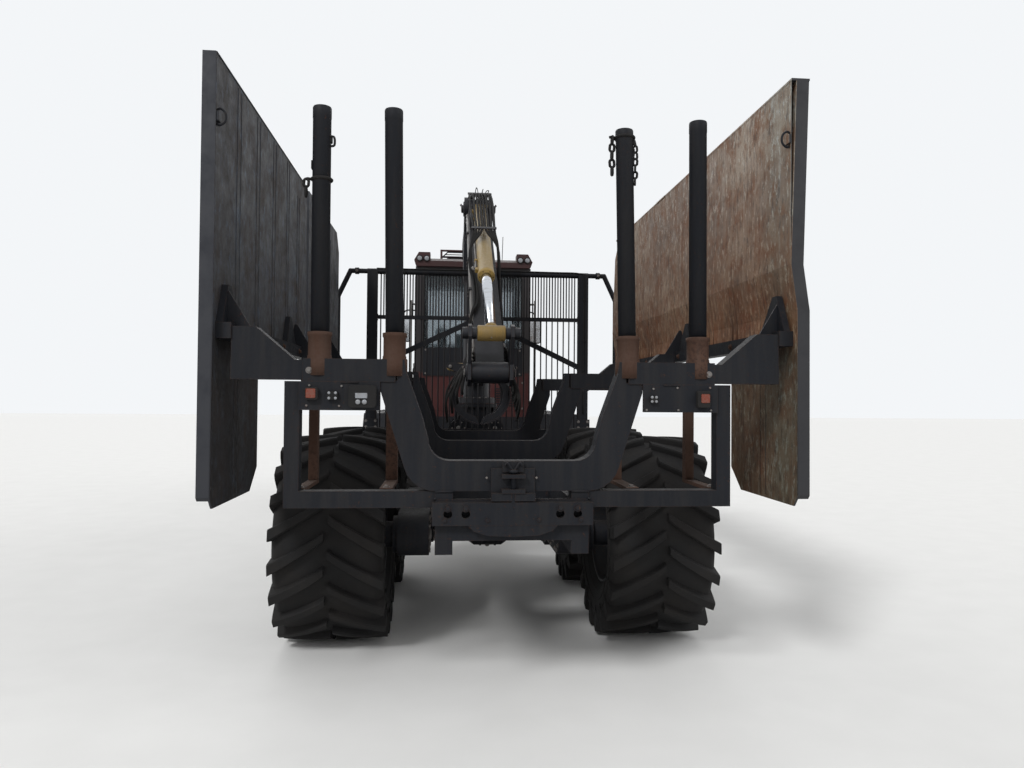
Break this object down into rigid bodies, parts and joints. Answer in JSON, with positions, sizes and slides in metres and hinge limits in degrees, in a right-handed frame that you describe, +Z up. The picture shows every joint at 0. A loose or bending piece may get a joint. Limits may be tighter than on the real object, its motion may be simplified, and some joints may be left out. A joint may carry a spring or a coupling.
{
  "type": "forestry forwarder",
  "caption": "Articulated forestry forwarder with bogie wheels, cab, barred gate, stakes, steel side panels and a folded loading crane with grapple.",
  "frame": {"origin": "on the ground, in the middle of the machine's length and width", "axes": "+X right, +Y forward, +Z up"},
  "size_m": [3.108, 9.9, 3.9499],
  "materials": {
    "frame": "worn dark paint",
    "body": "weathered dark red paint",
    "plate": "rusty sheet steel",
    "barrel": "cream yellow paint",
    "rod": "hard chrome",
    "tyre": "muddy rubber",
    "glass": "tinted glass",
    "lamp": "lamp lenses",
    "seat": "dark fabric",
    "engine": "cast block"
  },
  "bodies": {
    "rear_frame": {"rear_chassis": "frame", "rear_axle": "frame", "rear_bunk": "frame", "mid_bunks": "frame", "stakes": "frame", "light_frame": "frame", "rear_lamps": "lamp", "gate": "frame", "crane_base": "frame"},
    "front_frame": {"front_chassis": "frame", "front_axle": "frame", "cab_shell": "body", "cab_roof": "body", "cab_glass": "glass", "cab_seat": "seat", "engine": "engine", "fenders": "frame", "front_guard": "frame", "exhaust": "frame"},
    "side_left": {"arms_left": "frame", "panel_left": "plate"},
    "side_right": {"arms_right": "frame", "panel_right": "plate"},
    "bonnet_body": {"bonnet": "body"},
    "door_body": {"cab_door": "body", "door_glass": "glass"},
    "steer_barrel_left_body": {"steer_barrel_left": "barrel"},
    "steer_barrel_right_body": {"steer_barrel_right": "barrel"},
    "steer_rod_left_body": {"steer_rod_left": "rod"},
    "steer_rod_right_body": {"steer_rod_right": "rod"},
    "pillar": {"crane_pillar": "frame"},
    "lift_barrel_body": {"lift_barrel": "barrel"},
    "lift_rod_body": {"lift_rod": "rod"},
    "boom": {"main_boom": "frame"},
    "boom_barrel_body": {"boom_barrel": "barrel"},
    "boom_rod_body": {"boom_rod": "rod"},
    "jib_body": {"jib": "frame"},
    "extension": {"jib_extension": "frame"},
    "link": {"tip_link": "frame"},
    "rotator_body": {"rotator": "frame"},
    "grapple": {"grapple_frame": "frame"},
    "jaw_left_body": {"jaw_left": "frame"},
    "jaw_right_body": {"jaw_right": "frame"},
    "grapple_barrel_body": {"grapple_barrel": "barrel"},
    "grapple_rod_body": {"grapple_rod": "rod"},
    "wheel_rear_l1_body": {"wheel_rear_l1": "tyre"},
    "wheel_rear_l2_body": {"wheel_rear_l2": "tyre"},
    "wheel_rear_r1_body": {"wheel_rear_r1": "tyre"},
    "wheel_rear_r2_body": {"wheel_rear_r2": "tyre"},
    "wheel_front_l1_body": {"wheel_front_l1": "tyre"},
    "wheel_front_l2_body": {"wheel_front_l2": "tyre"},
    "wheel_front_r1_body": {"wheel_front_r1": "tyre"},
    "wheel_front_r2_body": {"wheel_front_r2": "tyre"}
  },
  "joints": [
    {"name": "steer", "type": "hinge", "parent": "rear_frame", "child": "front_frame", "pos_m": [0, 0.66, 0.95], "axis": [0, 0, 1], "range_deg": [-40, 40]},
    {"name": "wheel_rear_l1_spin", "type": "hinge", "parent": "rear_frame", "child": "wheel_rear_l1_body", "pos_m": [-1.075, -3.36, 0.7], "axis": [1, 0, 0], "continuous": true},
    {"name": "wheel_rear_l2_spin", "type": "hinge", "parent": "rear_frame", "child": "wheel_rear_l2_body", "pos_m": [-1.075, -1.86, 0.7], "axis": [1, 0, 0], "continuous": true},
    {"name": "wheel_rear_r1_spin", "type": "hinge", "parent": "rear_frame", "child": "wheel_rear_r1_body", "pos_m": [1.075, -3.36, 0.7], "axis": [1, 0, 0], "continuous": true},
    {"name": "wheel_rear_r2_spin", "type": "hinge", "parent": "rear_frame", "child": "wheel_rear_r2_body", "pos_m": [1.075, -1.86, 0.7], "axis": [1, 0, 0], "continuous": true},
    {"name": "wheel_front_l1_spin", "type": "hinge", "parent": "front_frame", "child": "wheel_front_l1_body", "pos_m": [-1.075, 1.91, 0.7], "axis": [1, 0, 0], "continuous": true},
    {"name": "wheel_front_l2_spin", "type": "hinge", "parent": "front_frame", "child": "wheel_front_l2_body", "pos_m": [-1.075, 3.41, 0.7], "axis": [1, 0, 0], "continuous": true},
    {"name": "wheel_front_r1_spin", "type": "hinge", "parent": "front_frame", "child": "wheel_front_r1_body", "pos_m": [1.075, 1.91, 0.7], "axis": [1, 0, 0], "continuous": true},
    {"name": "wheel_front_r2_spin", "type": "hinge", "parent": "front_frame", "child": "wheel_front_r2_body", "pos_m": [1.075, 3.41, 0.7], "axis": [1, 0, 0], "continuous": true},
    {"name": "panel_left_slide", "type": "slide", "parent": "rear_frame", "child": "side_left", "axis": [-1, 0, 0], "range_m": [0, 0.3]},
    {"name": "panel_right_slide", "type": "slide", "parent": "rear_frame", "child": "side_right", "axis": [1, 0, 0], "range_m": [0, 0.3]},
    {"name": "slew", "type": "hinge", "parent": "rear_frame", "child": "pillar", "pos_m": [0, 0.01, 1.6], "axis": [0, 0, 1], "range_deg": [-22, 22]},
    {"name": "lift", "type": "hinge", "parent": "pillar", "child": "boom", "pos_m": [0, -0.24, 3.82], "axis": [-1, 0, 0], "range_deg": [0, 90]},
    {"name": "lift_barrel_swing", "type": "hinge", "parent": "pillar", "child": "lift_barrel_body", "pos_m": [0, -0.23, 1.95], "axis": [-1, 0, 0], "range_deg": [-12, 0]},
    {"name": "lift_rod_slide", "type": "slide", "parent": "lift_barrel_body", "child": "lift_rod_body", "axis": [0, -0.0802, 0.9968], "range_m": [0, 0.62]},
    {"name": "jib_unfold", "type": "hinge", "parent": "boom", "child": "jib_body", "pos_m": [0, -2.78, 1.87], "axis": [-1, 0, 0], "range_deg": [0, 45]},
    {"name": "boom_barrel_swing", "type": "hinge", "parent": "boom", "child": "boom_barrel_body", "pos_m": [0, -0.79, 3.675], "axis": [-1, 0, 0], "range_deg": [-5, 0]},
    {"name": "boom_rod_slide", "type": "slide", "parent": "boom_barrel_body", "child": "boom_rod_body", "axis": [0, -0.8192, -0.5735], "range_m": [-0.24, 0]},
    {"name": "extension_slide", "type": "slide", "parent": "jib_body", "child": "extension", "axis": [0, 0.9163, 0.4005], "range_m": [0, 0.85]},
    {"name": "link_swing", "type": "hinge", "parent": "extension", "child": "link", "pos_m": [0, -1.11, 2.6], "axis": [-1, 0, 0], "range_deg": [-135, 0]},
    {"name": "grapple_swing", "type": "hinge", "parent": "link", "child": "rotator_body", "pos_m": [0, -1.11, 2.425], "axis": [0, 1, 0], "range_deg": [-20, 20]},
    {"name": "rotator_turn", "type": "hinge", "parent": "rotator_body", "child": "grapple", "pos_m": [0, -1.11, 2.235], "axis": [0, 0, 1], "continuous": true},
    {"name": "jaw_right_open", "type": "hinge", "parent": "grapple", "child": "jaw_right_body", "pos_m": [0.14, -1.11, 1.95], "axis": [0, -1, 0], "range_deg": [0, 65]},
    {"name": "jaw_left_open", "type": "hinge", "parent": "grapple", "child": "jaw_left_body", "pos_m": [-0.14, -1.11, 1.95], "axis": [0, 1, 0], "range_deg": [0, 65]},
    {"name": "grapple_barrel_swing", "type": "hinge", "parent": "jaw_left_body", "child": "grapple_barrel_body", "pos_m": [-0.307, -1.11, 1.98], "axis": [0, 1, 0], "range_deg": [-65, 0]},
    {"name": "grapple_rod_slide", "type": "slide", "parent": "grapple_barrel_body", "child": "grapple_rod_body", "axis": [1, 0, 0], "range_m": [-0.26, 0]},
    {"name": "bonnet_tilt", "type": "hinge", "parent": "front_frame", "child": "bonnet_body", "pos_m": [0, 4.69, 1.295], "axis": [-1, 0, 0], "range_deg": [0, 60]},
    {"name": "door_swing", "type": "hinge", "parent": "front_frame", "child": "door_body", "pos_m": [-0.778, 2.262, 2.4], "axis": [0, 0, -1], "range_deg": [0, 80]},
    {"name": "steer_barrel_left_swing", "type": "hinge", "parent": "rear_frame", "child": "steer_barrel_left_body", "pos_m": [-0.34, -0.12, 0.815], "axis": [0, 0, 1], "range_deg": [-5, 5]},
    {"name": "steer_rod_left_slide", "type": "slide", "parent": "steer_barrel_left_body", "child": "steer_rod_left_body", "axis": [0, 1, 0], "range_m": [-0.23, 0.23]},
    {"name": "steer_barrel_right_swing", "type": "hinge", "parent": "rear_frame", "child": "steer_barrel_right_body", "pos_m": [0.34, -0.12, 0.815], "axis": [0, 0, 1], "range_deg": [-5, 5]},
    {"name": "steer_rod_right_slide", "type": "slide", "parent": "steer_barrel_right_body", "child": "steer_rod_right_body", "axis": [0, 1, 0], "range_m": [-0.23, 0.23]}
  ],
  "couplings": [
    {"joint": "lift_barrel_swing", "follows": "lift", "ratio": -0.105},
    {"joint": "lift_rod_slide", "follows": "lift", "m_per_rad": 0.37455},
    {"joint": "jib_unfold", "follows": "lift", "ratio": 0.5},
    {"joint": "boom_barrel_swing", "follows": "lift", "ratio": -0.03391},
    {"joint": "boom_rod_slide", "follows": "lift", "m_per_rad": -0.14213},
    {"joint": "extension_slide", "follows": "lift", "m_per_rad": 0.54113},
    {"joint": "link_swing", "follows": "lift", "ratio": -1.5},
    {"joint": "jaw_left_open", "follows": "jaw_right_open", "ratio": 1},
    {"joint": "grapple_barrel_swing", "follows": "jaw_right_open", "ratio": -1},
    {"joint": "grapple_rod_slide", "follows": "jaw_right_open", "m_per_rad": -0.2179},
    {"joint": "steer_barrel_left_swing", "follows": "steer", "ratio": 0.1},
    {"joint": "steer_barrel_right_swing", "follows": "steer", "ratio": 0.1},
    {"joint": "steer_rod_left_slide", "follows": "steer", "m_per_rad": -0.321},
    {"joint": "steer_rod_right_slide", "follows": "steer", "m_per_rad": 0.321}
  ]
}
